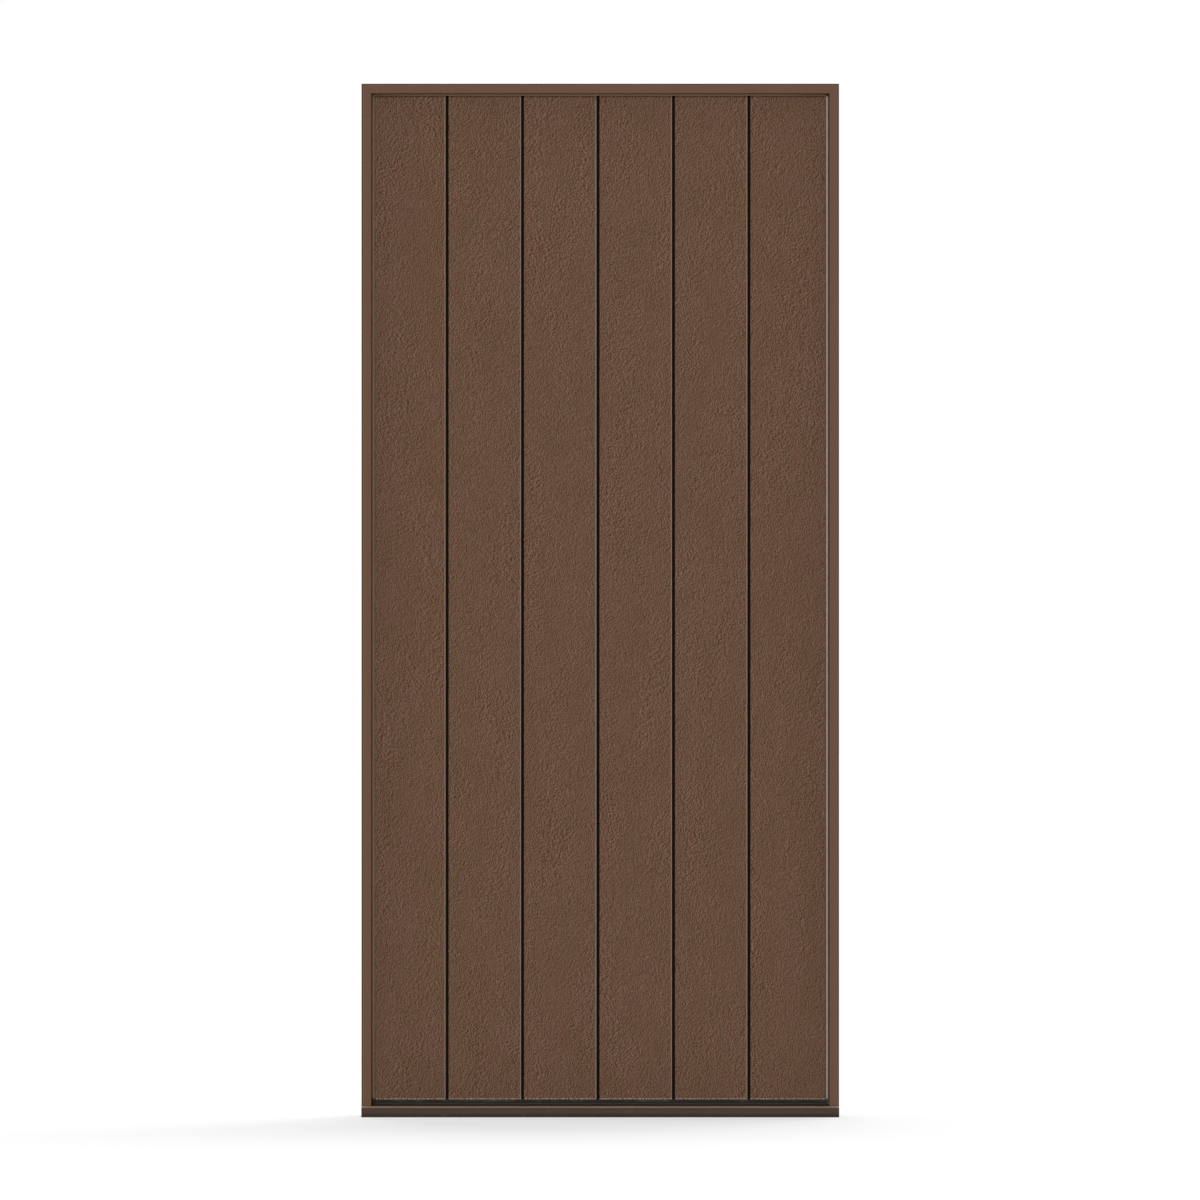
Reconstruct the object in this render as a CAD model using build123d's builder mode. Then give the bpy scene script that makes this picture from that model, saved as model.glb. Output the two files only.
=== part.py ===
"""Prehung fiberglass entry door: a slab moulded as six planks, hung on three butt hinges in a slim
rabbeted frame with weatherstrips, over a sill with a nosing, a metal deck and an adjustable cap.

Units are millimetres. X runs to the right across the doorway as seen from outside, Y runs inward
through the wall and Z is up. The origin is the middle of the sill's underside. The door stands
closed; its hinges are on the left and it swings inward."""

import os

from build123d import *

os.makedirs("parts", exist_ok=True)

# Slab
slab_width = 914.0
slab_height = 2000.0
slab_thickness = 44.5
slab_lift = 32.5  # underside of the slab above the floor
slab_setback = 1.5  # inner face of the slab in front of the inner edges of the jambs
lock_bevel = 1.6  # the lock edge is cut back this far at the outer face
skin_thickness = 2.0
stile_width = 32.0
top_rail_height = 38.0
bottom_rail_height = 40.0

# Moulded plank grooves, the same on both skins
groove_count = 5
groove_pitch = 150.0
groove_shift = -4.5  # middle of the groove pattern from the middle of the slab
groove_width = 6.3
groove_floor = 3.6
groove_depth = 4.0
groove_arris = 0.8

# Frame
reveal = 5.25  # gap between the slab's edges and the jambs
jamb_thickness = 11.25  # at the rabbet
jamb_depth = 116.0
jamb_arris = 1.0
stop_projection = 8.0  # depth of the rabbet, so that the jamb's outer part stops the slab

# Weatherstrips, each pressed into a kerf in its jamb at the rabbet's shoulder
seal_projection = 14.4
head_seal_projection = 10.0  # the strip along the head is a narrower one
seal_depth = 6.2
seal_round = 2.4
seal_clearance = 0.3  # from the slab
kerf_width = 3.0
kerf_depth = 7.0
barb_clearance = 0.2

# Corner seals, thin wedges on the jambs at the foot of the slab's edges
corner_seal_height = 60.0
corner_seal_width = 26.0
corner_seal_thickness = 3.0
corner_seal_tip = 1.0

# Sill
nosing_projection = 27.0
nosing_height = 21.5
nosing_round = 12.0
nosing_toe = 2.0
nosing_fall = 1.0
sill_height = 24.0
deck_thickness = 2.5
deck_inset = 47.0  # inner edge of the metal deck from the inner edges of the jambs
flute_count = 6
flute_pitch = 8.0
flute_radius = 1.2
flute_depth = 0.6
flute_margin = 14.0

# Adjustable cap under the slab
cap_width = 40.0
cap_gap = 5.6  # from the cap's top to the slab's underside
cap_crown = 1.6
cap_round = 1.5
cap_clearance = 0.3
cap_lift = 2.0  # underside of the cap above the pocket's floor
pocket_depth = 10.0
cap_screw_count = 4
cap_screw_pitch = 230.0
cap_screw_sink = 1.0
cap_screw_radius = 4.5
cap_screw_head = 3.0
cap_shank_radius = 2.5
cap_shank_seat = 5.0
cap_screw_clearance = 0.3

# Sweep under the slab
sweep_inset = 4.0
sweep_end_gap = 2.0
sweep_base = 1.6
fin_count = 4
fin_thickness = 1.4
fin_clearance = 0.3  # from the cap
barb_count = 2
barb_pitch = 18.0
barb_width = 2.4
barb_height = 7.0

# Hinges
hinge_height = 102.0
hinge_top_margin = 178.0
hinge_bottom_margin = 279.0
leaf_thickness = 2.5
leaf_mortise = 38.0
leaf_corner = 16.0
knuckle_count = 5
knuckle_radius = 6.5
knuckle_gap = 0.4
barrel_clearance = 0.6
pin_offset = 8.5  # pin axis from the slab's inner face
pin_radius = 3.2
pin_clearance = 0.05
pin_cap_radius = 5.2
pin_cap_height = 3.0
pin_cap_round = 1.2

# Hinge screws
screw_spots = ((9.0, 13.0), (24.0, 36.0))  # from the leaf's buried end, from its nearer end along Z
screw_head_radius = 4.2
screw_shank_radius = 2.1
screw_head_depth = 2.1
screw_clearance = 0.1
frame_screw_length = 10.5
slab_screw_length = 25.0
cross_length = 4.4
cross_width = 1.0
cross_depth = 1.1

# Places worked out from the sizes
opening_width = slab_width + 2 * reveal
unit_width = opening_width + 2 * jamb_thickness
slab_top = slab_lift + slab_height
head_underside = slab_top + reveal
unit_height = head_underside + jamb_thickness
jamb_face = opening_width / 2
stop_face = jamb_face - stop_projection
outer_edge = -jamb_depth / 2
inner_edge = jamb_depth / 2
slab_inner = inner_edge - slab_setback
slab_outer = slab_inner - slab_thickness
slab_middle = (slab_inner + slab_outer) / 2
core_depth = slab_thickness - 2 * skin_thickness
core_half_width = slab_width / 2 - stile_width
seal_back = slab_outer - seal_clearance
seal_front = seal_back - seal_depth
seal_middle = (seal_back + seal_front) / 2
deck_back = inner_edge - deck_inset
cap_top = slab_lift - cap_gap
pocket_floor = sill_height - pocket_depth
cap_screw_top = cap_top - cap_screw_sink
cap_screw_foot = pocket_floor - cap_shank_seat
leaf_back = slab_inner - leaf_mortise
pin_x = -(slab_width + reveal) / 2
pin_y = slab_inner + pin_offset
knuckle_height = (hinge_height - (knuckle_count - 1) * knuckle_gap) / knuckle_count
upper_hinge = slab_top - hinge_top_margin - hinge_height / 2
lower_hinge = slab_lift + hinge_bottom_margin + hinge_height / 2
hinges = {
    "upper": upper_hinge,
    "middle": (upper_hinge + lower_hinge) / 2,
    "lower": lower_hinge,
}
lock_edge = Plane((slab_width / 2, slab_inner, 0), z_dir=(slab_thickness, -lock_bevel, 0))
from_below = (Align.CENTER, Align.CENTER, Align.MIN)
from_above = (Align.CENTER, Align.CENTER, Align.MAX)


def keep(piece, name):
    """Labels a finished piece and writes it to its own file."""
    piece.part.label = name
    export_step(piece.part, f"parts/{name}.step")


def strip_plane(place, inset=0.0):
    """Plane for the section of a strip along the hinge, strike or head jamb. Local X points from the jamb's
    face into the doorway, local Y inward and local Z along the strip. A strip on the head jamb starts at
    inset from the side jamb's face."""
    if place == "hinge":
        return Plane((-jamb_face, 0, nosing_height), x_dir=(1, 0, 0), z_dir=(0, 0, 1))
    if place == "strike":
        return Plane((jamb_face, 0, head_underside), x_dir=(-1, 0, 0), z_dir=(0, 0, -1))
    return Plane((inset - jamb_face, 0, head_underside), x_dir=(0, 0, -1), z_dir=(1, 0, 0))


def strip_length(place, inset=0.0):
    """Length of a strip along the hinge, strike or head jamb."""
    if place == "head":
        return opening_width - 2 * inset
    return head_underside - nosing_height


def mitre(side):
    """Plane of the mitre at a top corner of the frame, with the head jamb on its upper side."""
    return Plane((side * unit_width / 2, 0, unit_height), z_dir=(-side, 0, 1))


def cut_kerf(place):
    """Cuts the weatherstrip's kerf into the jamb in use."""
    with BuildSketch(strip_plane(place)) as kerf:
        with Locations((-kerf_depth / 2, seal_middle)):
            Rectangle(kerf_depth, kerf_width)
    extrude(kerf.sketch, amount=strip_length(place), mode=Mode.SUBTRACT)


def leaf_outline(face_x, height):
    """Outline of a hinge leaf, from its buried end to the pin's axis, on the plane at face_x."""
    with BuildSketch(Plane.YZ.offset(face_x)) as outline:
        with Locations(((leaf_back + pin_y) / 2, height)):
            Rectangle(pin_y - leaf_back, hinge_height)
        fillet(outline.vertices().group_by(Axis.X)[0], leaf_corner)
    return outline.sketch


def cut_leaf_mortises(face_x, into):
    """Cuts the three leaf mortises into the part in use, from the surface at face_x along X."""
    for height in hinges.values():
        extrude(leaf_outline(face_x, height), amount=into * leaf_thickness, mode=Mode.SUBTRACT)


def screw_planes(face_x, into, heights):
    """Planes at the heads of the hinge screws, with their normals along the screws."""
    return [
        Plane(
            (face_x, leaf_back + depth, height + side * (hinge_height / 2 - margin)),
            z_dir=(into, 0, 0),
        )
        for height in heights
        for depth, margin in screw_spots
        for side in (-1, 1)
    ]


def cut_screw_holes(face_x, into, length):
    """Cuts the holes for all hinge screws into the part in use."""
    with Locations(*screw_planes(face_x, into, hinges.values())):
        Cylinder(screw_shank_radius + screw_clearance, length, align=from_below, mode=Mode.SUBTRACT)


def cut_cross(rotation):
    """Cuts one bar of the cross recess into each screw head in use."""
    Box(
        cross_length,
        cross_width,
        cross_depth,
        rotation=(0, 0, rotation),
        align=from_below,
        mode=Mode.SUBTRACT,
    )


def make_side_jamb(place):
    """A side jamb, coped over the sill, mitred at its top, rabbeted for the slab and kerfed for its
    weatherstrip."""
    side = -1 if place == "hinge" else 1
    with BuildPart() as jamb:
        with BuildSketch(Plane.YZ.offset(side * stop_face)):
            Polygon(
                (outer_edge, nosing_height),
                (deck_back, sill_height),
                (inner_edge, sill_height),
                (inner_edge, unit_height),
                (outer_edge, unit_height),
                align=None,
            )
        extrude(amount=side * (jamb_thickness + stop_projection))
        fillet(jamb.edges().filter_by(Axis.Z).group_by(Axis.Y)[0], jamb_arris)
        with Locations((side * (stop_face + stop_projection / 2), (seal_front + inner_edge) / 2, 0)):
            Box(
                stop_projection,
                inner_edge - seal_front,
                unit_height,
                align=from_below,
                mode=Mode.SUBTRACT,
            )
        split(bisect_by=mitre(side), keep=Keep.BOTTOM)
        cut_kerf(place)
        if place == "hinge":
            cut_leaf_mortises(-jamb_face, -1)
            cut_screw_holes(-jamb_face, -1, frame_screw_length + screw_clearance)
    return jamb


def make_head_jamb():
    """The head jamb, rabbeted and kerfed like the side jambs and mitred to them."""
    with BuildPart() as jamb:
        with Locations((0, (outer_edge + seal_front) / 2, unit_height)):
            Box(
                unit_width,
                seal_front - outer_edge,
                jamb_thickness + stop_projection,
                align=from_above,
            )
        fillet(jamb.edges().filter_by(Axis.X).group_by(Axis.Y)[0], jamb_arris)
        with Locations((0, (seal_front + inner_edge) / 2, unit_height)):
            Box(unit_width, inner_edge - seal_front, jamb_thickness, align=from_above)
        for side in (-1, 1):
            split(bisect_by=mitre(side), keep=Keep.TOP)
        cut_kerf("head")
    return jamb


def make_weatherstrip(place):
    """A weatherstrip with its barb in the jamb's kerf; the head one lies between the side ones."""
    projection = head_seal_projection if place == "head" else seal_projection
    with BuildPart() as strip:
        with BuildSketch(strip_plane(place, seal_projection)) as section:
            with Locations((projection / 2, seal_middle)):
                Rectangle(projection, seal_depth)
            fillet(section.vertices().group_by(Axis.X)[-1], seal_round)
            with Locations((-(kerf_depth - barb_clearance) / 2, seal_middle)):
                Rectangle(kerf_depth - barb_clearance, kerf_width - 2 * barb_clearance)
        extrude(amount=strip_length(place, seal_projection))
        if place != "head":
            split(bisect_by=Plane.XY.offset(sill_height), keep=Keep.TOP)
    return strip


def make_corner_seals():
    """Two wedges on the jamb faces, just above the cap and behind the weatherstrips."""
    front = slab_outer + seal_clearance
    with BuildPart() as seals:
        for side in (-1, 1):
            with BuildSketch(Plane.XY.offset(cap_top + cap_clearance)):
                Polygon(
                    (side * jamb_face, front),
                    (side * jamb_face, front + corner_seal_width),
                    (side * (jamb_face - corner_seal_tip), front + corner_seal_width),
                    (side * (jamb_face - corner_seal_thickness), front),
                    align=None,
                )
            extrude(amount=corner_seal_height)
    return seals


def make_sill_nosing():
    """The full-width nosing in front of the frame, with a rounded front."""
    front = outer_edge - nosing_projection
    with BuildPart() as nosing:
        with BuildSketch(Plane.YZ) as section:
            Polygon(
                (front, 0),
                (outer_edge, 0),
                (outer_edge, nosing_height),
                (front, nosing_height - nosing_fall),
                align=None,
            )
            face = section.vertices().group_by(Axis.X)[0].sort_by(Axis.Y)
            fillet(face[-1], nosing_round)
            toe = section.vertices().group_by(Axis.X)[0].sort_by(Axis.Y)
            fillet(toe[0], nosing_toe)
        extrude(amount=unit_width / 2, both=True)
    return nosing


def make_sill_base():
    """The base under the frame, with a seat for the deck and a pocket for the cap between the jambs."""
    with BuildPart() as base:
        with BuildSketch(Plane.YZ):
            Polygon(
                (outer_edge, 0),
                (inner_edge, 0),
                (inner_edge, sill_height),
                (deck_back, sill_height),
                (deck_back, sill_height - deck_thickness),
                (outer_edge, nosing_height - deck_thickness),
                align=None,
            )
        extrude(amount=unit_width / 2, both=True)
        with Locations((0, slab_middle, sill_height)):
            Box(
                opening_width,
                cap_width + 2 * cap_clearance,
                pocket_depth,
                align=from_above,
                mode=Mode.SUBTRACT,
            )
        with Locations((0, slab_middle, pocket_floor)):
            with GridLocations(cap_screw_pitch, 0, cap_screw_count, 1):
                Cylinder(
                    cap_shank_radius + screw_clearance,
                    cap_shank_seat,
                    align=from_above,
                    mode=Mode.SUBTRACT,
                )
    return base


def make_sill_deck():
    """The sloping metal deck, with small flutes along it."""
    with BuildPart() as deck:
        with BuildSketch(Plane.YZ):
            Polygon(
                (outer_edge, nosing_height - deck_thickness),
                (deck_back, sill_height - deck_thickness),
                (deck_back, sill_height),
                (outer_edge, nosing_height),
                align=None,
            )
            for number in range(flute_count):
                run = flute_margin + number * flute_pitch
                rise = run * (sill_height - nosing_height) / (deck_back - outer_edge)
                with Locations((outer_edge + run, nosing_height + rise + flute_radius - flute_depth)):
                    Circle(flute_radius, mode=Mode.SUBTRACT)
        extrude(amount=unit_width / 2, both=True)
    return deck


def make_sill_cap():
    """The adjustable cap, crowned along its top and bored for its screws."""
    front = slab_middle - cap_width / 2
    back = slab_middle + cap_width / 2
    foot = pocket_floor + cap_lift
    with BuildPart() as cap:
        with BuildSketch(Plane.YZ) as section:
            with BuildLine():
                Polyline(
                    (front, cap_top - cap_crown),
                    (front, foot),
                    (back, foot),
                    (back, cap_top - cap_crown),
                )
                ThreePointArc(
                    (back, cap_top - cap_crown),
                    (slab_middle, cap_top),
                    (front, cap_top - cap_crown),
                )
            make_face()
            fillet(section.vertices().group_by(Axis.Y)[-1], cap_round)
        extrude(amount=jamb_face - cap_clearance, both=True)
        with Locations((0, slab_middle, foot)):
            with GridLocations(cap_screw_pitch, 0, cap_screw_count, 1):
                Cylinder(
                    cap_shank_radius + cap_screw_clearance,
                    cap_top - foot,
                    align=from_below,
                    mode=Mode.SUBTRACT,
                )
        with Locations((0, slab_middle, cap_screw_top - cap_screw_head)):
            with GridLocations(cap_screw_pitch, 0, cap_screw_count, 1):
                Cylinder(
                    cap_screw_radius + cap_screw_clearance,
                    cap_screw_head + cap_screw_sink,
                    align=from_below,
                    mode=Mode.SUBTRACT,
                )
    return cap


def make_cap_screws():
    """The screws that set the cap's height, seated in the base."""
    with BuildPart() as screws:
        with Locations(Plane((0, slab_middle, cap_screw_top), z_dir=(0, 0, -1))):
            with GridLocations(cap_screw_pitch, 0, cap_screw_count, 1):
                Cylinder(cap_screw_radius, cap_screw_head, align=from_below)
                Cylinder(cap_shank_radius, cap_screw_top - cap_screw_foot, align=from_below)
                cut_cross(0)
                cut_cross(90)
    return screws


def groove_sections(face, inward, shell, mode):
    """Sections of all grooves in the slab face at depth face, each grown on its buried sides by shell and
    starting that far below the face. Inward is 1 from the outer face and -1 from the inner face."""
    lean = (groove_width - groove_floor) / 2 / groove_depth
    growth = shell * (1 + lean**2) ** 0.5 - shell * lean
    mouth = groove_width / 2 + growth
    floor = groove_floor / 2 + growth
    start = face + inward * shell
    end = start + inward * groove_depth
    with Locations((groove_shift, 0)):
        with GridLocations(groove_pitch, 0, groove_count, 1):
            Polygon((-mouth, start), (mouth, start), (floor, end), (-floor, end), align=None, mode=mode)


def make_skin(face, inward):
    """A formed skin: a plate with a channel behind each groove, and rounded arrises on the grooves."""
    with BuildPart() as skin:
        with BuildSketch(Plane.XY.offset(slab_lift)) as section:
            with Locations((0, face + inward * skin_thickness / 2)):
                Rectangle(slab_width, skin_thickness)
            groove_sections(face, inward, skin_thickness, Mode.ADD)
            groove_sections(face, inward, 0, Mode.SUBTRACT)
            corners = section.vertices().group_by(Axis.Y)[0 if inward > 0 else -1]
            fillet(corners.sort_by(Axis.X)[1:-1], groove_arris)
        extrude(amount=slab_height)
        split(bisect_by=lock_edge, keep=Keep.BOTTOM)
        if inward < 0:
            cut_leaf_mortises(-slab_width / 2, 1)
    return skin


def make_hinge_stile():
    """The stile along the hinge edge, mortised for the leaves."""
    with BuildPart() as stile:
        with Locations((-slab_width / 2 + stile_width / 2, slab_middle, slab_lift)):
            Box(stile_width, core_depth, slab_height, align=from_below)
        cut_leaf_mortises(-slab_width / 2, 1)
        cut_screw_holes(-slab_width / 2, 1, slab_screw_length + screw_clearance)
    return stile


def make_lock_stile():
    """The stile along the lock edge, cut to the bevel."""
    with BuildPart() as stile:
        with Locations((slab_width / 2 - stile_width / 2, slab_middle, slab_lift)):
            Box(stile_width, core_depth, slab_height, align=from_below)
        split(bisect_by=lock_edge, keep=Keep.BOTTOM)
    return stile


def extrude_core(foot, height):
    """Fills the slab between its stiles and skins, from a height upward."""
    with BuildSketch(Plane.XY.offset(foot)) as filling:
        with Locations((0, slab_middle)):
            Rectangle(2 * core_half_width, core_depth)
        groove_sections(slab_outer, 1, skin_thickness, Mode.SUBTRACT)
        groove_sections(slab_inner, -1, skin_thickness, Mode.SUBTRACT)
    extrude(filling.sketch, amount=height)


def make_top_rail():
    """The rail along the slab's top."""
    with BuildPart() as rail:
        extrude_core(slab_top - top_rail_height, top_rail_height)
    return rail


def make_bottom_rail():
    """The rail along the slab's foot, kerfed for the sweep."""
    with BuildPart() as rail:
        extrude_core(slab_lift, bottom_rail_height)
        with BuildSketch(Plane.YZ):
            with Locations((slab_middle, slab_lift + (barb_height + barb_clearance) / 2)):
                with GridLocations(barb_pitch, 0, barb_count, 1):
                    Rectangle(barb_width + 2 * barb_clearance, barb_height + barb_clearance)
        extrude(amount=core_half_width, both=True, mode=Mode.SUBTRACT)
    return rail


def make_foam_core():
    """The foam between the rails."""
    with BuildPart() as core:
        foot = slab_lift + bottom_rail_height
        extrude_core(foot, slab_top - top_rail_height - foot)
    return core


def make_door_sweep():
    """The finned sweep under the slab. Its barbs stop short of the stiles."""
    width = slab_thickness - 2 * sweep_inset
    fin_foot = cap_top + fin_clearance
    fin_top = slab_lift - sweep_base
    fin_pitch = (width - fin_thickness) / (fin_count - 1)
    with BuildPart() as sweep:
        with BuildSketch(Plane.YZ):
            with Locations((slab_middle, slab_lift - sweep_base / 2)):
                Rectangle(width, sweep_base)
            with Locations((slab_middle, (fin_foot + fin_top) / 2)):
                with GridLocations(fin_pitch, 0, fin_count, 1):
                    Rectangle(fin_thickness, fin_top - fin_foot)
        extrude(amount=slab_width / 2 - sweep_end_gap, both=True)
        with BuildSketch(Plane.YZ):
            with Locations((slab_middle, slab_lift + barb_height / 2)):
                with GridLocations(barb_pitch, 0, barb_count, 1):
                    Rectangle(barb_width, barb_height)
        extrude(amount=core_half_width - barb_clearance, both=True)
    return sweep


def make_leaf(height, on_frame):
    """A hinge leaf with its knuckles. The frame's leaf has the end knuckles, and each leaf is cut clear of
    the other's knuckles."""
    face_x = -jamb_face if on_frame else -slab_width / 2
    into = -1 if on_frame else 1
    foot = height - hinge_height / 2
    step = knuckle_height + knuckle_gap
    with BuildPart() as leaf:
        extrude(leaf_outline(face_x, height), amount=into * leaf_thickness)
        for number in range(1 if on_frame else 0, knuckle_count, 2):
            with Locations((pin_x, pin_y, foot + number * step - knuckle_gap)):
                Cylinder(
                    knuckle_radius + barrel_clearance,
                    knuckle_height + 2 * knuckle_gap,
                    align=from_below,
                    mode=Mode.SUBTRACT,
                )
        for number in range(0 if on_frame else 1, knuckle_count, 2):
            with Locations((pin_x, pin_y, foot + number * step)):
                Cylinder(knuckle_radius, knuckle_height, align=from_below)
        with Locations((pin_x, pin_y, foot)):
            Cylinder(pin_radius + pin_clearance, hinge_height, align=from_below, mode=Mode.SUBTRACT)
        with Locations(*screw_planes(face_x, into, [height])):
            Cone(
                screw_head_radius + screw_clearance,
                screw_shank_radius + screw_clearance,
                screw_head_depth,
                align=from_below,
                mode=Mode.SUBTRACT,
            )
            Cylinder(
                screw_shank_radius + screw_clearance,
                leaf_thickness,
                align=from_below,
                mode=Mode.SUBTRACT,
            )
    return leaf


def make_pin(height):
    """A hinge pin with a head above the barrel and a button below it."""
    with BuildPart(Plane((pin_x, pin_y, height))) as pin:
        Cylinder(pin_radius, hinge_height)
        with Locations((0, 0, hinge_height / 2)):
            Cylinder(pin_cap_radius, pin_cap_height, align=from_below)
        with Locations((0, 0, -hinge_height / 2)):
            Cylinder(pin_cap_radius, pin_cap_height, align=from_above)
        ends = pin.edges().group_by(Axis.Z)
        fillet(ends[0] + ends[-1], pin_cap_round)
    return pin


def make_hinge_screws(face_x, into, length):
    """Flat-headed screws through one side's leaves."""
    with BuildPart() as screws:
        with Locations(*screw_planes(face_x, into, hinges.values())):
            Cone(screw_head_radius, screw_shank_radius, screw_head_depth, align=from_below)
            Cylinder(screw_shank_radius, length, align=from_below)
            cut_cross(0)
            cut_cross(90)
    return screws


# Frame
keep(make_side_jamb("hinge"), "hinge_jamb")
keep(make_side_jamb("strike"), "strike_jamb")
keep(make_head_jamb(), "head_jamb")
for place in ("hinge", "strike", "head"):
    keep(make_weatherstrip(place), f"{place}_weatherstrip")
keep(make_corner_seals(), "corner_seals")

# Sill
keep(make_sill_nosing(), "sill_nosing")
keep(make_sill_base(), "sill_base")
keep(make_sill_deck(), "sill_deck")
keep(make_sill_cap(), "sill_cap")
keep(make_cap_screws(), "sill_cap_screws")

# Slab
keep(make_skin(slab_outer, 1), "outer_skin")
keep(make_skin(slab_inner, -1), "inner_skin")
keep(make_hinge_stile(), "hinge_stile")
keep(make_lock_stile(), "lock_stile")
keep(make_top_rail(), "top_rail")
keep(make_bottom_rail(), "bottom_rail")
keep(make_foam_core(), "foam_core")
keep(make_door_sweep(), "door_sweep")

# Hinges
for level, middle in hinges.items():
    keep(make_leaf(middle, True), f"{level}_frame_leaf")
    keep(make_leaf(middle, False), f"{level}_door_leaf")
    keep(make_pin(middle), f"{level}_hinge_pin")
keep(make_hinge_screws(-jamb_face, -1, frame_screw_length), "frame_hinge_screws")
keep(make_hinge_screws(-slab_width / 2, 1, slab_screw_length), "door_hinge_screws")
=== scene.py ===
import math

import bpy
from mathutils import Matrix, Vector

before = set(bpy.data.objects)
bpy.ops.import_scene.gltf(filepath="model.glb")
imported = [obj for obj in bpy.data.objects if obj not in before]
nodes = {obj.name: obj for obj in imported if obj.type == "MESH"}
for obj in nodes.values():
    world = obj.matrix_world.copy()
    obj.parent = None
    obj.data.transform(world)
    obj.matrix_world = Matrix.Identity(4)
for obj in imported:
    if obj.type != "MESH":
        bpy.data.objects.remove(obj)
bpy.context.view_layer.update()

# Looks, light and camera of a prehung fiberglass entry door: a moulded six-plank slab in a slim frame.
# Lengths are in metres. X runs to the right as seen from outside, Y inward through the wall and Z up
# from the floor. The stretch of a noise is how many of its cells fit in a metre along X, Y and Z.

# Places on the door
FRAME_FRONT = -0.058  # y of the jambs' outer faces
HALF_WIDTH = 0.4735  # x of the frame's sides
TOP = 2.049  # z of the frame's top
STOP_FACE = 0.45425  # x of the side stops' faces in the doorway
HEAD_UNDERSIDE = 2.02975  # z of the head stop's underside
OUTER_FACE = 0.012  # y of the slab's outer face
INNER_FACE = 0.0565  # y of the slab's inner face
SLAB_BOTTOM = 0.0325  # z of the slab's underside
GROOVE_FIRST = -0.3045  # x of the leftmost groove
GROOVE_MIDDLE = -0.0045  # x of the middle groove
GROOVE_PITCH = 0.150
GROOVE_REACH = 0.36  # from the middle groove to past the outermost ones
GROOVE_FADE = 0.001

# Marks on the slab: grooves dark with stain and painted shade, painted highlights and a painted shadow
# line. Each pair is the two ends of the fade at a mark's edge
GROOVE_EDGE = (0.0045, 0.0055)  # from the groove's middle
GROOVE_DEPTH = (0.0003, 0.0010)  # under the skin's face, from where a groove is dark with stain and painted shade
ARRIS_HIGHLIGHT = (-0.0050, -0.0031, 0.0003)  # painted highlight, from the groove's middle, and half of its edges' fade
# z where the painted highlight along the slab's foot fades out
FOOT_HIGHLIGHT = (SLAB_BOTTOM + 0.0016, SLAB_BOTTOM + 0.0024)
SEAL_SHADOW_LINE = (0.4460, 0.4495, 0.0005)  # x of the painted shadow line along the strike strip, and half of its fade

# Painted shade and highlights on the jambs' outer faces, by distance from the frame's outline
FACE_DEPTH = (FRAME_FRONT + 0.0012, FRAME_FRONT + 0.0022)  # y where the marks end
OUTLINE_SHADE = (0.0020, 0.0031)
CROWN_HIGHLIGHT = (0.0030, 0.0052)
INNER_SHADE = (0.004, 0.0195)
# painted shade on the lip at the doorway edge
LIP_SHADE = (0.0180, 0.0190)
RAW_NEAR = 0.0004  # the frame's raw backs reach in to between these depths
RAW_FAR = 0.0008

# Painted shade and light on the nosing by z, and the back of its painted top-edge highlight by y
NOSING_FOOT_SHADE = (0.0020, 0.0045)
NOSING_FACE = (0.0045, 0.0165)
NOSING_SHOULDER = (0.0165, 0.0190)
NOSING_HIGHLIGHT = (0.0186, 0.0202)
NOSING_HIGHLIGHT_BACK = (-0.070, -0.066)

# Painted shade and light on the weatherstrips
STRIP_NOSE = (-0.0058, -0.0048)  # painted shade on the nose, past the stop's face
STRIP_FOOT = (SLAB_BOTTOM + 0.0012, SLAB_BOTTOM + 0.0022)
TUCK_FADE = 0.0004

# Tones
GLOSS = 0.017  # what a satin surface adds to its colour by reflecting the pale studio
DARKEST = 0.002  # least linear value that is left of a colour under its gloss
NOISE_LOW = 0.3  # a noise is mostly between these two values
NOISE_HIGH = 0.7
MIDDLE = (0.5, 0.5, 0.5)  # mean of a coloured noise
SATIN = 0.15  # specular level of coated surfaces
SHEEN = 0.3  # specular level of anodised metal and sanded wood
# dark stain and painted shade in the grooves
GROOVE_STAIN_AND_SHADE = (0.003, 0.0015, 0.0006, 1.0)

# Grain of the moulded skins
WORMS = (390, 200, 320)
WORM_DETAIL = (2.0, 0.55)  # octaves and the share of each next one
LIT_SIDE = (0.0014, 0.0, -0.0005)  # from a worm's painted lit side to its painted shaded side
LIT_CONTRAST = 0.16  # difference in height across a worm that gives the full painted light and shade
FLOW = (7, 7, 3.5)
FLOW_REACH = (0.06, 0.0, 0.03)  # how far the flow bends the grain
SWIRL = (30, 30, 14)
SWIRL_REACH = (0.010, 0.0, 0.009)
FINE_GRAIN = (640, 300, 560)
FINE_CONTRAST = 0.22
PORES = (560, 300, 330)
PORE_SHARE = 0.42
HUE_SPOTS = (330, 200, 160)
OLIVE_CLOUDS = (22, 22, 11)
OLIVE_SHARE = 0.35
SHALLOW_CLOUDS = (11, 11, 4.5)  # where the grain is shallower
# breaks in the painted arris highlight
ARRIS_HIGHLIGHT_BREAKS = (0, 0, 260)
FOOT_HIGHLIGHT_DOTS = (330, 0, 0)
PLANK_SHIFT = (0.37, 0.0, 1.73)  # of the grain from each plank to the next
SKIN_RELIEF = 0.0009

# Floor and sky
FLOOR_HALF = 70.0
FLOOR_DROP = 0.0002  # keeps the floor just under the sill
FLOOR_TONE = 0.48  # as seen
FLOOR_BOUNCE = 0.27  # as it lights the door
FLOOR_LIFT = 0.585  # glow as seen
FLOOR_GLOW = 0.18  # glow as it lights the door
SKY_LOW = 0.18
SKY_HIGH = 0.42
SKY_FROM = -0.1  # height of the direction where the sky starts to brighten
SKY_TO = 1.0
WHITE = (1, 1, 1, 1)

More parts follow.
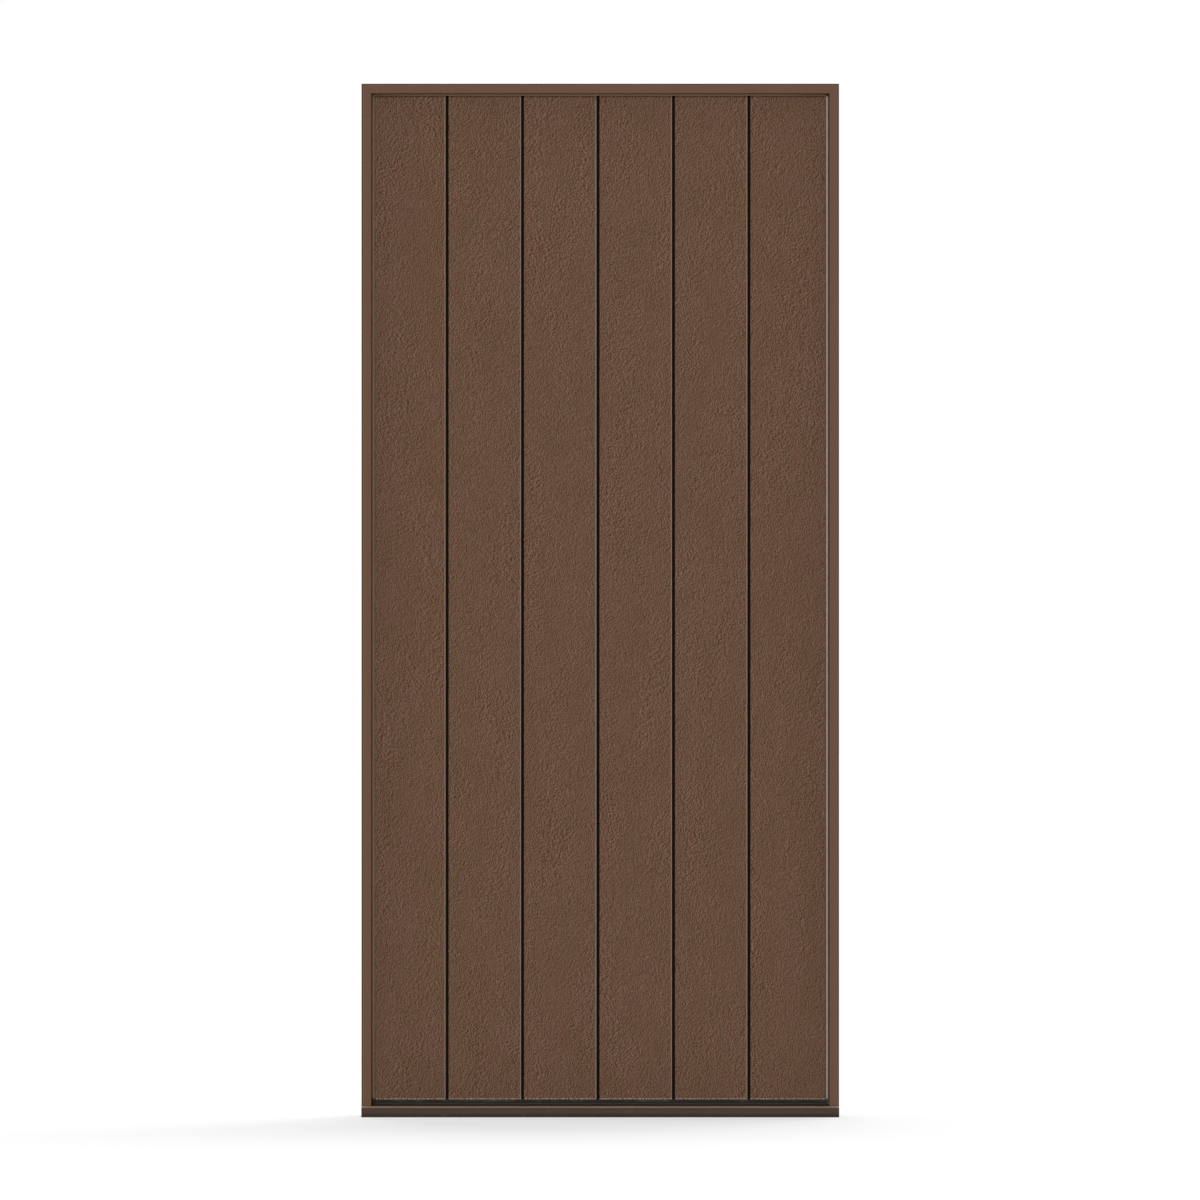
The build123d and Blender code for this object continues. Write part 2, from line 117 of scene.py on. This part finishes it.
# Suns: azimuth and elevation in degrees, strength, and angle across in degrees
SUNS = {
    "key": (-4, 3.6, 2.68, 6),
    "back": (176, 56, 1.5, 32),
    "fill": (140, 14, 1.6, 45),
    "side": (-110, 18, 0.9, 40),
}
SUN_DISTANCE = 12  # of a sun's object from the door, which doesn't change its light

# Camera
PICTURE_SIZE = 1200
PIXEL = 0.00198325  # what one pixel covers at the jambs' outer faces
SENSOR_WIDTH = 36.0  # millimetres
CAMERA_DISTANCE = 30.0
CAMERA_X = -0.0005
CAMERA_HEIGHT = 1.0251
CLIP_END = 300.0

# Sockets of the nodes that repeat names
MIX_SHARE = 0
MIX_FIRST = 6
MIX_SECOND = 7
MIX_RESULT = 2
RANGE_FROM_LOW = 1
RANGE_FROM_HIGH = 2
RANGE_TO_LOW = 3
RANGE_TO_HIGH = 4


def rgb(red, green, blue):
    """A colour given in display values of 0 to 255, as the shader's linear values."""
    channels = []
    for value in (red, green, blue):
        share = value / 255
        channels.append(share / 12.92 if share <= 0.04045 else ((share + 0.055) / 1.055) ** 2.4)
    return (*channels, 1.0)


def under_gloss(red, green, blue):
    """The same, less what a satin surface adds by reflecting the pale studio."""
    channels = rgb(red, green, blue)[:3]
    return (*(max(value - GLOSS, DARKEST) for value in channels), 1.0)


class Paint:
    """One node material around a Principled shader, in the piece's own coordinates."""

    def __init__(self, name):
        self.material = bpy.data.materials.new(name)
        self.material.use_nodes = True
        self.tree = self.material.node_tree
        self.tree.nodes.clear()
        self.shader = self.new("ShaderNodeBsdfPrincipled")
        output = self.new("ShaderNodeOutputMaterial")
        self.tree.links.new(self.shader.outputs[0], output.inputs["Surface"])
        self.point = self.new("ShaderNodeTexCoord").outputs["Object"]
        self.x, self.y, self.z = self.split(self.point)

    def new(self, kind, **settings):
        """A new node of one kind, with its settings."""
        node = self.tree.nodes.new(kind)
        for key, value in settings.items():
            setattr(node, key, value)
        return node

    def put(self, socket, value):
        """Links a node's output to the socket, or sets the socket to a plain value."""
        if isinstance(value, bpy.types.NodeSocket):
            self.tree.links.new(value, socket)
        else:
            socket.default_value = value

    def split(self, vector):
        """The three parts of a vector."""
        node = self.new("ShaderNodeSeparateXYZ")
        self.put(node.inputs[0], vector)
        return node.outputs[0], node.outputs[1], node.outputs[2]

    def join(self, x, y, z):
        """The vector of three parts."""
        node = self.new("ShaderNodeCombineXYZ")
        for socket, value in zip(node.inputs, (x, y, z)):
            self.put(socket, value)
        return node.outputs[0]

    def math(self, operation, *values):
        """The result of one operation on numbers."""
        node = self.new("ShaderNodeMath", operation=operation)
        for socket, value in zip(node.inputs, values):
            self.put(socket, value)
        return node.outputs[0]

    def vector(self, operation, *values):
        """The result of one operation on vectors."""
        node = self.new("ShaderNodeVectorMath", operation=operation)
        for socket, value in zip(node.inputs, values):
            self.put(socket, value)
        return node.outputs[0]

    def span(self, value, low, high, start=0.0, end=1.0, smooth=True):
        """value from low to high, turned into start to end and held there outside."""
        node = self.new("ShaderNodeMapRange", interpolation_type="SMOOTHSTEP" if smooth else "LINEAR")
        for socket, number in zip(node.inputs, (value, low, high, start, end)):
            self.put(socket, number)
        return node.outputs[0]

    def contrast(self, noise, start=0.0, end=1.0):
        """A noise from its low to its high values, turned into start to end."""
        return self.span(noise, NOISE_LOW, NOISE_HIGH, start, end)

    def under(self, value, low, high):
        """1 where value is under low, falling to 0 at high."""
        return self.span(value, low, high, 1.0, 0.0)

    def band(self, value, low, high, soft):
        """1 between low and high, 0 outside, over a soft edge."""
        rise = self.span(value, low - soft, low + soft)
        fall = self.under(value, high - soft, high + soft)
        return self.math("MULTIPLY", rise, fall)

    def blend(self, share, first, second):
        """The first colour where share is 0, turning into the second where it is 1."""
        node = self.new("ShaderNodeMix", data_type="RGBA")
        self.put(node.inputs[MIX_SHARE], share)
        self.put(node.inputs[MIX_FIRST], first)
        self.put(node.inputs[MIX_SECOND], second)
        return node.outputs[MIX_RESULT]

    def cover(self, colour, share, strength, other):
        """The colour with another over it, by strength where share is 1."""
        return self.blend(self.math("MULTIPLY", share, strength), colour, other)

    def noise(self, vector, stretch, detail=2.0, roughness=0.5, colour=False):
        """Noise whose cells are 1 / stretch long on each axis."""
        node = self.new("ShaderNodeTexNoise")
        self.put(node.inputs["Vector"], self.vector("MULTIPLY", vector, stretch))
        self.put(node.inputs["Scale"], 1.0)
        self.put(node.inputs["Detail"], detail)
        self.put(node.inputs["Roughness"], roughness)
        return node.outputs[1 if colour else 0]

    def drift(self, vector, stretch, reach, detail):
        """A vector that wanders to both sides of zero, up to half of reach."""
        wander = self.vector("SUBTRACT", self.noise(vector, stretch, detail, colour=True), MIDDLE)
        return self.vector("MULTIPLY", wander, reach)

    def cells(self, vector, stretch, feature="F1"):
        """Distance from the middle of the nearest cell."""
        node = self.new("ShaderNodeTexVoronoi", feature=feature)
        self.put(node.inputs["Vector"], self.vector("MULTIPLY", vector, stretch))
        self.put(node.inputs["Scale"], 1.0)
        return node.outputs["Distance"]

    def bump(self, height, depth, strength):
        """A normal that shows height as relief of some depth."""
        node = self.new("ShaderNodeBump")
        self.put(node.inputs["Strength"], strength)
        self.put(node.inputs["Distance"], depth)
        self.put(node.inputs["Height"], height)
        return node.outputs["Normal"]

    def finish(self, **values):
        """Sets the shader's inputs, whose spaces are written as _, and gives the material."""
        for key, value in values.items():
            self.put(self.shader.inputs[key.replace("_", " ")], value)
        return self.material


def skin(name, face, inward):
    """Moulded wood-grain skin: worm-like grain with painted light and shade across each worm, an olive
    tint, grooves near-black from stain and painted shade, a painted highlight on each groove's left arris,
    a dotted painted highlight along the slab's foot and a painted shadow line beside the strike strip. Its
    surface is at y = face, and inward is the sign of Y into the slab."""
    p = Paint(name)
    turns = p.math("DIVIDE", p.math("SUBTRACT", p.x, GROOVE_FIRST), GROOVE_PITCH)
    plank = p.math("FLOOR", turns)
    near = p.math("SUBTRACT", p.math("FRACT", p.math("ADD", turns, 0.5)), 0.5)
    beside = p.math("MULTIPLY", near, GROOVE_PITCH)
    from_middle = p.math("ABSOLUTE", p.math("SUBTRACT", p.x, GROOVE_MIDDLE))
    grooved = p.under(from_middle, GROOVE_REACH, GROOVE_REACH + GROOVE_FADE)
    depth = p.math("MULTIPLY", p.math("SUBTRACT", p.y, face), inward)

    shift = p.vector("MULTIPLY", p.join(plank, 0.0, plank), PLANK_SHIFT)
    place = p.vector("ADD", p.point, shift)
    bent = p.vector("ADD", place, p.drift(place, FLOW, FLOW_REACH, 1.0))
    bent = p.vector("ADD", bent, p.drift(place, SWIRL, SWIRL_REACH, 1.0))

    # The grain's colour is painted light and shade across each worm, as if lit from one side: lit sides
    # take the light colour and shaded sides the shade colour
    worm = p.noise(bent, WORMS, *WORM_DETAIL)
    beyond = p.noise(p.vector("ADD", bent, LIT_SIDE), WORMS, *WORM_DETAIL)
    lit = p.span(p.math("SUBTRACT", worm, beyond), -LIT_CONTRAST, LIT_CONTRAST, -0.5, 0.5)
    strength = p.span(p.noise(place, SHALLOW_CLOUDS, 1.0), 0.36, 0.64, 0.82, 1.0)
    fine = p.noise(bent, FINE_GRAIN, 1.0)
    grain = p.math("MULTIPLY_ADD", lit, strength, 0.5)
    grain = p.math("ADD", grain, p.span(fine, 0.25, 0.75, -FINE_CONTRAST, FINE_CONTRAST))
    pores = p.span(p.noise(bent, PORES, 1.0), 0.58, 0.72)
    hue = p.span(p.noise(bent, HUE_SPOTS, 1.0), 0.36, 0.62)
    olive = p.span(p.noise(place, OLIVE_CLOUDS, 2.0, 0.55), 0.40, 0.64)
    hue = p.math("MULTIPLY_ADD", olive, OLIVE_SHARE, hue)

    grain_shade_colour = p.blend(hue, under_gloss(74, 48, 36), under_gloss(71, 51, 37))
    grain_light_colour = p.blend(hue, under_gloss(117, 90, 76), under_gloss(114, 93, 76))
    colour = p.blend(grain, grain_shade_colour, grain_light_colour)
    colour = p.cover(colour, pores, PORE_SHARE, under_gloss(68, 49, 37))

    # A painted highlight on the grooves' left arrises, fainter here and there
    breaks = p.span(p.noise(place, ARRIS_HIGHLIGHT_BREAKS, 1.0), 0.25, 0.6, 0.55, 1.0)
    arris_highlight = p.math("MULTIPLY", p.band(beside, *ARRIS_HIGHLIGHT), p.math("MULTIPLY", grooved, breaks))
    colour = p.cover(colour, arris_highlight, 0.75, rgb(132, 112, 98))

    # A dotted painted highlight along the slab's foot, and a painted shadow line along the strike strip
    dots = p.span(p.noise(place, FOOT_HIGHLIGHT_DOTS, 0.0), 0.38, 0.62)
    foot_highlight = p.math("MULTIPLY", p.under(p.z, *FOOT_HIGHLIGHT), dots)
    colour = p.blend(foot_highlight, colour, rgb(160, 137, 120))
    # Painted shadow where the skin meets the strike strip
    colour = p.cover(colour, p.band(p.x, *SEAL_SHADOW_LINE), 0.35, rgb(60, 40, 30))

    # The sunk parts of the grooves, near-black from dark stain and painted shade
    at_groove = p.under(p.math("ABSOLUTE", beside), *GROOVE_EDGE)
    sunk = p.math("MULTIPLY", p.span(depth, *GROOVE_DEPTH), p.math("MULTIPLY", grooved, at_groove))
    colour = p.blend(sunk, colour, GROOVE_STAIN_AND_SHADE)

    height = p.math("MULTIPLY_ADD", fine, 0.2, p.math("MULTIPLY", worm, strength))
    height = p.math("MULTIPLY_ADD", pores, -0.3, height)
    rough = p.math("ADD", p.contrast(worm, 0.68, 0.58), p.math("MULTIPLY", olive, 0.06))
    return p.finish(
        Base_Color=colour,
        Roughness=p.math("MAXIMUM", rough, sunk),
        Specular_IOR_Level=SATIN,
        Normal=p.bump(height, SKIN_RELIEF, 1.0),
    )


def jamb(name):
    """Smooth brown composite: faint long streaks, orange-peel film, a painted highlight inside a dark
    outline of painted shade, painted shade towards the doorway, and raw matt backs.
    """
    p = Paint(name)
    streak = p.noise(p.point, (160, 160, 5), 3.0, 0.6)
    cloud = p.noise(p.point, (9, 9, 4), 2.0)
    peel = p.noise(p.point, (900, 900, 900), 1.0)
    colour = p.blend(p.contrast(streak), under_gloss(94, 71, 57), under_gloss(98, 75, 60))
    colour = p.cover(colour, p.span(cloud, 0.4, 0.7), 0.10, under_gloss(92, 69, 55))

    # The outer faces' painted shade and highlights
    at_front = p.under(p.y, *FACE_DEPTH)
    from_side = p.math("SUBTRACT", HALF_WIDTH, p.math("ABSOLUTE", p.x))
    from_edge = p.math("MINIMUM", from_side, p.math("SUBTRACT", TOP, p.z))
    # Painted shade, darker towards the doorway
    inner = p.math("MULTIPLY", at_front, p.span(from_edge, *INNER_SHADE, smooth=False))
    colour = p.cover(colour, inner, 0.25, under_gloss(84, 62, 48))
    # A painted highlight just inside the outline
    crown_highlight = p.math("MULTIPLY", at_front, p.under(from_edge, *CROWN_HIGHLIGHT))
    colour = p.cover(colour, crown_highlight, 0.25, under_gloss(118, 92, 75))
    # A dark outline of painted shade along the outer arris
    outline = p.math("MULTIPLY", at_front, p.under(from_edge, *OUTLINE_SHADE))
    colour = p.cover(colour, outline, 0.9, rgb(50, 28, 17))
    # A faint painted shade on the lip at the doorway edge
    lip_shade = p.math("MULTIPLY", at_front, p.span(from_edge, *LIP_SHADE))
    colour = p.cover(colour, lip_shade, 0.08, rgb(70, 48, 36))

    raw_side = p.under(from_side, RAW_NEAR, RAW_FAR)
    raw = p.math("MAXIMUM", raw_side, p.span(p.z, TOP - RAW_FAR, TOP - RAW_NEAR))
    height = p.math("ADD", p.math("MULTIPLY", peel, 0.3), streak)
    return p.finish(
        Base_Color=colour,
        Roughness=p.math("MAXIMUM", p.contrast(streak, 0.58, 0.66), raw),
        Specular_IOR_Level=SATIN,
        Normal=p.bump(height, 0.00008, 0.5),
    )


def anodised(name, dark, light, metallic, roughness):
    """Anodised aluminium with fine draw lines along the extrusion and rubbed spots."""
    p = Paint(name)
    draw = p.noise(p.point, (4, 500, 500), 2.0, 0.6)
    wear = p.span(p.noise(p.point, (30, 60, 60), 3.0, 0.6), 0.55, 0.8)
    colour = p.blend(p.contrast(draw), dark, light)
    colour = p.cover(colour, wear, 0.12, rgb(140, 122, 104))
    rough = p.contrast(draw, roughness - 0.05, roughness + 0.05)
    return p.finish(
        Base_Color=colour,
        Metallic=metallic,
        Roughness=p.math("ADD", rough, p.math("MULTIPLY", wear, 0.08)),
        Specular_IOR_Level=SHEEN,
        Normal=p.bump(draw, 0.00005, 0.4),
    )


def nosing(name):
    """Rolled aluminium sill nose in a bronze coat: a painted highlight on its top edge, painted shade
    darker towards the floor, and fine draw lines."""
    p = Paint(name)
    draw = p.noise(p.point, (5, 420, 420), 2.0, 0.6)
    scuff = p.span(p.noise(p.point, (34, 60, 60), 3.0, 0.6), 0.55, 0.8)

    # Painted shade at the foot, lighter up the face to a painted highlight on the top edge
    colour = p.blend(p.span(p.z, *NOSING_FOOT_SHADE), rgb(25, 17, 11), under_gloss(44, 35, 28))
    colour = p.blend(p.span(p.z, *NOSING_FACE, smooth=False), colour, under_gloss(79, 65, 55))
    colour = p.blend(p.span(p.z, *NOSING_SHOULDER), colour, under_gloss(101, 85, 72))
    nosing_highlight = p.math("MULTIPLY", p.span(p.z, *NOSING_HIGHLIGHT), p.under(p.y, *NOSING_HIGHLIGHT_BACK))
    colour = p.blend(nosing_highlight, colour, under_gloss(176, 160, 144))

    colour = p.cover(colour, p.contrast(draw), 0.15, under_gloss(72, 60, 50))
    colour = p.cover(colour, scuff, 0.10, rgb(150, 134, 116))
    return p.finish(
        Base_Color=colour,
        Roughness=p.math("ADD", p.contrast(draw, 0.56, 0.64), p.math("MULTIPLY", scuff, 0.06)),
        Specular_IOR_Level=SATIN,
        Normal=p.bump(draw, 0.00005, 0.4),
    )


def rubber(name, dark, light):
    """Moulded rubber with a fine matt grain and patches of dust."""
    p = Paint(name)
    grain = p.noise(p.point, (700, 700, 700), 2.0, 0.6)
    dust = p.span(p.noise(p.point, (40, 40, 40), 3.0, 0.6), 0.45, 0.75)
    colour = p.blend(p.contrast(grain), dark, light)
    colour = p.cover(colour, dust, 0.10, rgb(150, 138, 124))
    return p.finish(
        Base_Color=colour,
        Roughness=p.contrast(grain, 0.54, 0.66),
        Specular_IOR_Level=0.06,
        Normal=p.bump(grain, 0.00006, 0.5),
    )


def weatherstrip(name, dark, light, painted_tuck_shading, tuck_width, nose_shade):
    """Foam-filled bulb in a taupe film. It has a painted tuck colour over tuck_width beside the stop,
    which is painted shadow on some strips and painted light on others, and painted shade on its nose at
    the strength nose_shade."""
    p = Paint(name)
    film = p.noise(p.point, (420, 420, 90), 2.0, 0.6)
    pinch = p.span(p.noise(p.point, (60, 60, 60), 2.0), 0.4, 0.7)
    colour = p.blend(p.contrast(film), dark, light)
    colour = p.cover(colour, pinch, 0.10, under_gloss(112, 94, 80))

    past_side = p.math("SUBTRACT", p.math("ABSOLUTE", p.x), STOP_FACE)
    past_stop = p.math("MAXIMUM", past_side, p.math("SUBTRACT", p.z, HEAD_UNDERSIDE))
    # Painted shade on the nose, and painted light or shadow, as given, in the tuck beside the stop
    colour = p.cover(colour, p.under(past_stop, *STRIP_NOSE), nose_shade, painted_tuck_shading)
    tuck = p.span(past_stop, -tuck_width - TUCK_FADE, -tuck_width + TUCK_FADE)
    colour = p.blend(tuck, colour, painted_tuck_shading)
    colour = p.blend(p.under(p.z, *STRIP_FOOT), colour, rgb(34, 30, 27))
    return p.finish(
        Base_Color=colour,
        Roughness=p.contrast(film, 0.56, 0.66),
        Specular_IOR_Level=0.2,
        Normal=p.bump(film, 0.00008, 0.5),
    )


def wood(name, dark, light):
    """Stained solid wood: growth rings drawn out along Z, pores, and a sanded sheen."""
    p = Paint(name)
    bend = p.drift(p.point, (3, 3, 1), (0.03, 0.03, 0.03), 2.0)
    ring = p.noise(p.vector("ADD", p.point, bend), (150, 150, 4), 3.0, 0.6)
    pore = p.span(p.noise(p.point, (900, 900, 30), 1.0), 0.58, 0.72)
    colour = p.blend(p.contrast(ring), dark, light)
    colour = p.cover(colour, pore, 0.4, dark)
    return p.finish(
        Base_Color=colour,
        Roughness=p.contrast(ring, 0.66, 0.54),
        Specular_IOR_Level=SHEEN,
        Normal=p.bump(p.math("SUBTRACT", ring, pore), 0.00012, 0.5),
    )


def composite(name, dark, light):
    """Extruded wood-fibre composite: speckled chips in a plain matt ground."""
    p = Paint(name)
    chips = p.span(p.cells(p.point, (160, 260, 260)), 0.25, 0.6)
    ground = p.noise(p.point, (60, 200, 200), 3.0, 0.6)
    colour = p.blend(p.contrast(ground), dark, light)
    colour = p.cover(colour, chips, 0.25, light)
    return p.finish(
        Base_Color=colour,
        Roughness=p.contrast(ground, 0.92, 1.0),
        Specular_IOR_Level=0.25,
        Normal=p.bump(chips, 0.0001, 0.4),
    )


def steel(name, dark, light, roughness, brush):
    """Satin plated steel with fine brush lines and smudges."""
    p = Paint(name)
    line = p.noise(p.point, brush, 2.0, 0.7)
    smudge = p.noise(p.point, (70, 70, 45), 3.0, 0.6)
    colour = p.blend(p.contrast(line), dark, light)
    colour = p.cover(colour, p.span(smudge, 0.5, 0.75), 0.18, rgb(96, 88, 78))
    rough = p.contrast(line, roughness - 0.04, roughness + 0.04)
    return p.finish(
        Base_Color=colour,
        Metallic=1.0,
        Roughness=p.math("ADD", rough, p.math("MULTIPLY", smudge, 0.10)),
        Normal=p.bump(line, 0.00004, 0.4),
    )


def foam(name):
    """Rigid foam: small closed cells, uneven in tone."""
    p = Paint(name)
    cell = p.cells(p.point, (420, 420, 420), "SMOOTH_F1")
    cloud = p.noise(p.point, (14, 14, 14), 3.0)
    colour = p.blend(p.span(cloud, 0.35, 0.65), rgb(206, 184, 130), rgb(224, 206, 158))
    colour = p.blend(p.span(cell, 0.1, 0.6, 0.3, 0.0), colour, rgb(150, 126, 80))
    return p.finish(
        Base_Color=colour,
        Roughness=p.span(cell, 0.1, 0.6, 0.9, 0.8),
        Normal=p.bump(cell, 0.0003, 0.5),
    )


def darker(colour, share):
    """The colour with its linear values brought down to a share."""
    return (*(value * share for value in colour[:3]), 1.0)


FINISHES = {}


def dress(finish, *names):
    """Gives one finish to the named nodes."""
    for name in names:
        FINISHES[name] = finish


# Frame
dress(jamb("frame_finish"), "hinge_jamb", "strike_jamb", "head_jamb")
# One taupe bulb painted as lit and shaded copies: the hinge strip darker and browner as painted shade with
# painted light in its tuck, the head strip lighter as painted light, and the strike strip with painted
# shadow in its tuck and on its nose
dress(
    weatherstrip(
        "hinge_strip_painted_shade_and_light",
        under_gloss(117, 95, 78),
        under_gloss(127, 104, 87),
        rgb(156, 128, 106),
        tuck_width=0.0036,
        nose_shade=0.0,
    ),
    "hinge_weatherstrip",
)
dress(
    weatherstrip(
        "head_strip_painted_light",
        under_gloss(180, 152, 131),
        under_gloss(190, 162, 141),
        rgb(172, 143, 121),
        tuck_width=0.0012,
        nose_shade=0.0,
    ),
    "head_weatherstrip",
)
dress(
    weatherstrip(
        "strike_strip_painted_shadow",
        under_gloss(136, 121, 111),
        under_gloss(150, 135, 125),
        rgb(40, 24, 14),
        tuck_width=0.0020,
        nose_shade=0.7,
    ),
    "strike_weatherstrip",
)
dress(rubber("black_rubber", rgb(30, 27, 24), rgb(39, 35, 31)), "door_sweep", "corner_seals")

# Sill
dress(nosing("nosing_finish"), "sill_nosing")
dress(anodised("deck_finish", rgb(32, 28, 24), rgb(42, 37, 32), 0.4, 0.55), "sill_deck")
dress(composite("cap_finish", rgb(54, 50, 46), rgb(66, 61, 56)), "sill_cap")
dress(composite("base_finish", rgb(66, 60, 54), rgb(84, 77, 70)), "sill_base")

# Slab
dress(skin("outer_skin_finish", OUTER_FACE, 1.0), "outer_skin")
dress(skin("inner_skin_finish", INNER_FACE, -1.0), "inner_skin")
dress(wood("stile_finish", rgb(96, 66, 46), rgb(132, 98, 72)), "hinge_stile", "lock_stile")
dress(composite("rail_finish", rgb(96, 84, 72), rgb(122, 108, 94)), "top_rail", "bottom_rail")
dress(foam("foam_finish"), "foam_core")

# Hinges and screws
hinge_tone = rgb(178, 172, 164)
screw_tone = rgb(146, 141, 134)
hinge_finish = steel("hinge_finish", darker(hinge_tone, 0.88), hinge_tone, 0.34, (500, 500, 6))
screw_finish = steel("screw_finish", darker(screw_tone, 0.88), screw_tone, 0.28, (700, 700, 700))
for level in ("upper", "middle", "lower"):
    dress(hinge_finish, f"{level}_frame_leaf", f"{level}_door_leaf", f"{level}_hinge_pin")
dress(screw_finish, "frame_hinge_screws", "door_hinge_screws", "sill_cap_screws")

for name, node in nodes.items():
    while len(node.material_slots) < 1:
        node.data.materials.append(None)
    for holder in node.material_slots:
        holder.link = "OBJECT"
        holder.material = FINISHES[name]


def larger(tree, one, other):
    """The larger of two sockets' values."""
    node = tree.nodes.new("ShaderNodeMath")
    node.operation = "MAXIMUM"
    tree.links.new(one, node.inputs[0])
    tree.links.new(other, node.inputs[1])
    return node.outputs[0]


def seen_directly(tree):
    """1 for what the camera sees itself, in a reflection or through something clear."""
    paths = tree.nodes.new("ShaderNodeLightPath")
    direct = larger(tree, paths.outputs["Is Camera Ray"], paths.outputs["Is Glossy Ray"])
    return larger(tree, direct, paths.outputs["Is Transmission Ray"])


def make_floor():
    """A wide pale floor that keeps the door's shadow. It is paler as seen than as it lights the door."""
    mesh = bpy.data.meshes.new("floor")
    corners = [(x * FLOOR_HALF, y * FLOOR_HALF, 0) for x, y in ((-1, -1), (1, -1), (1, 1), (-1, 1))]
    mesh.from_pydata(corners, [], [(0, 1, 2, 3)])
    floor = bpy.data.objects.new("floor", mesh)
    bpy.context.scene.collection.objects.link(floor)
    floor.location.z = -FLOOR_DROP
    material = bpy.data.materials.new("floor")
    material.use_nodes = True
    tree = material.node_tree
    tree.nodes.clear()
    output = tree.nodes.new("ShaderNodeOutputMaterial")
    seen = seen_directly(tree)
    matt = tree.nodes.new("ShaderNodeBsdfDiffuse")
    tone = tree.nodes.new("ShaderNodeMix")
    tone.data_type = "RGBA"
    tone.inputs[MIX_FIRST].default_value = (FLOOR_BOUNCE, FLOOR_BOUNCE, FLOOR_BOUNCE, 1)
    tone.inputs[MIX_SECOND].default_value = (FLOOR_TONE, FLOOR_TONE, FLOOR_TONE, 1)
    tree.links.new(seen, tone.inputs[MIX_SHARE])
    tree.links.new(tone.outputs[MIX_RESULT], matt.inputs["Color"])
    glow = tree.nodes.new("ShaderNodeEmission")
    lift = tree.nodes.new("ShaderNodeMapRange")
    lift.inputs[RANGE_TO_LOW].default_value = FLOOR_GLOW
    lift.inputs[RANGE_TO_HIGH].default_value = FLOOR_LIFT
    tree.links.new(seen, lift.inputs[0])
    tree.links.new(lift.outputs[0], glow.inputs["Strength"])
    both = tree.nodes.new("ShaderNodeAddShader")
    tree.links.new(matt.outputs[0], both.inputs[0])
    tree.links.new(glow.outputs[0], both.inputs[1])
    tree.links.new(both.outputs[0], output.inputs["Surface"])
    mesh.materials.append(material)


def make_sky():
    """A white sky as seen, and a soft one, brighter overhead, as it lights the door."""
    world = bpy.data.worlds.new("studio")
    bpy.context.scene.world = world
    world.use_nodes = True
    tree = world.node_tree
    tree.nodes.clear()
    output = tree.nodes.new("ShaderNodeOutputWorld")
    plain = tree.nodes.new("ShaderNodeBackground")
    soft = tree.nodes.new("ShaderNodeBackground")
    choose = tree.nodes.new("ShaderNodeMixShader")
    around = tree.nodes.new("ShaderNodeTexCoord")
    split = tree.nodes.new("ShaderNodeSeparateXYZ")
    rise = tree.nodes.new("ShaderNodeMapRange")
    rise.inputs[RANGE_FROM_LOW].default_value = SKY_FROM
    rise.inputs[RANGE_FROM_HIGH].default_value = SKY_TO
    rise.inputs[RANGE_TO_LOW].default_value = SKY_LOW
    rise.inputs[RANGE_TO_HIGH].default_value = SKY_HIGH
    tree.links.new(around.outputs["Generated"], split.inputs[0])
    tree.links.new(split.outputs[2], rise.inputs[0])
    tree.links.new(rise.outputs[0], soft.inputs["Strength"])
    plain.inputs["Color"].default_value = WHITE
    plain.inputs["Strength"].default_value = 1.0
    tree.links.new(seen_directly(tree), choose.inputs[0])
    tree.links.new(soft.outputs[0], choose.inputs[1])
    tree.links.new(plain.outputs[0], choose.inputs[2])
    tree.links.new(choose.outputs[0], output.inputs["Surface"])


def make_sun(name, azimuth, elevation, strength, angle):
    """A sun that shines from azimuth, 0 in front and 90 on the right, and elevation above the floor."""
    lamp = bpy.data.lights.new(name, "SUN")
    lamp.energy = strength
    lamp.angle = math.radians(angle)
    holder = bpy.data.objects.new(name, lamp)
    bpy.context.scene.collection.objects.link(holder)
    turn = math.radians(azimuth)
    lean = math.radians(elevation)
    source = Vector((math.sin(turn) * math.cos(lean), -math.cos(turn) * math.cos(lean), math.sin(lean)))
    holder.rotation_euler = source.to_track_quat("Z", "Y").to_euler()
    holder.location = source * SUN_DISTANCE


def make_camera():
    """A camera square to the door, far enough away to show next to no perspective."""
    camera = bpy.data.cameras.new("camera")
    camera.sensor_width = SENSOR_WIDTH
    camera.lens = SENSOR_WIDTH * CAMERA_DISTANCE / (PICTURE_SIZE * PIXEL)
    camera.clip_end = CLIP_END
    holder = bpy.data.objects.new("camera", camera)
    bpy.context.scene.collection.objects.link(holder)
    holder.location = (CAMERA_X, FRAME_FRONT - CAMERA_DISTANCE, CAMERA_HEIGHT)
    holder.rotation_euler = (math.pi / 2, 0, 0)
    bpy.context.scene.camera = holder


make_floor()
make_sky()
for name, sun in SUNS.items():
    make_sun(name, *sun)
make_camera()

bpy.context.scene.view_settings.view_transform = "Standard"
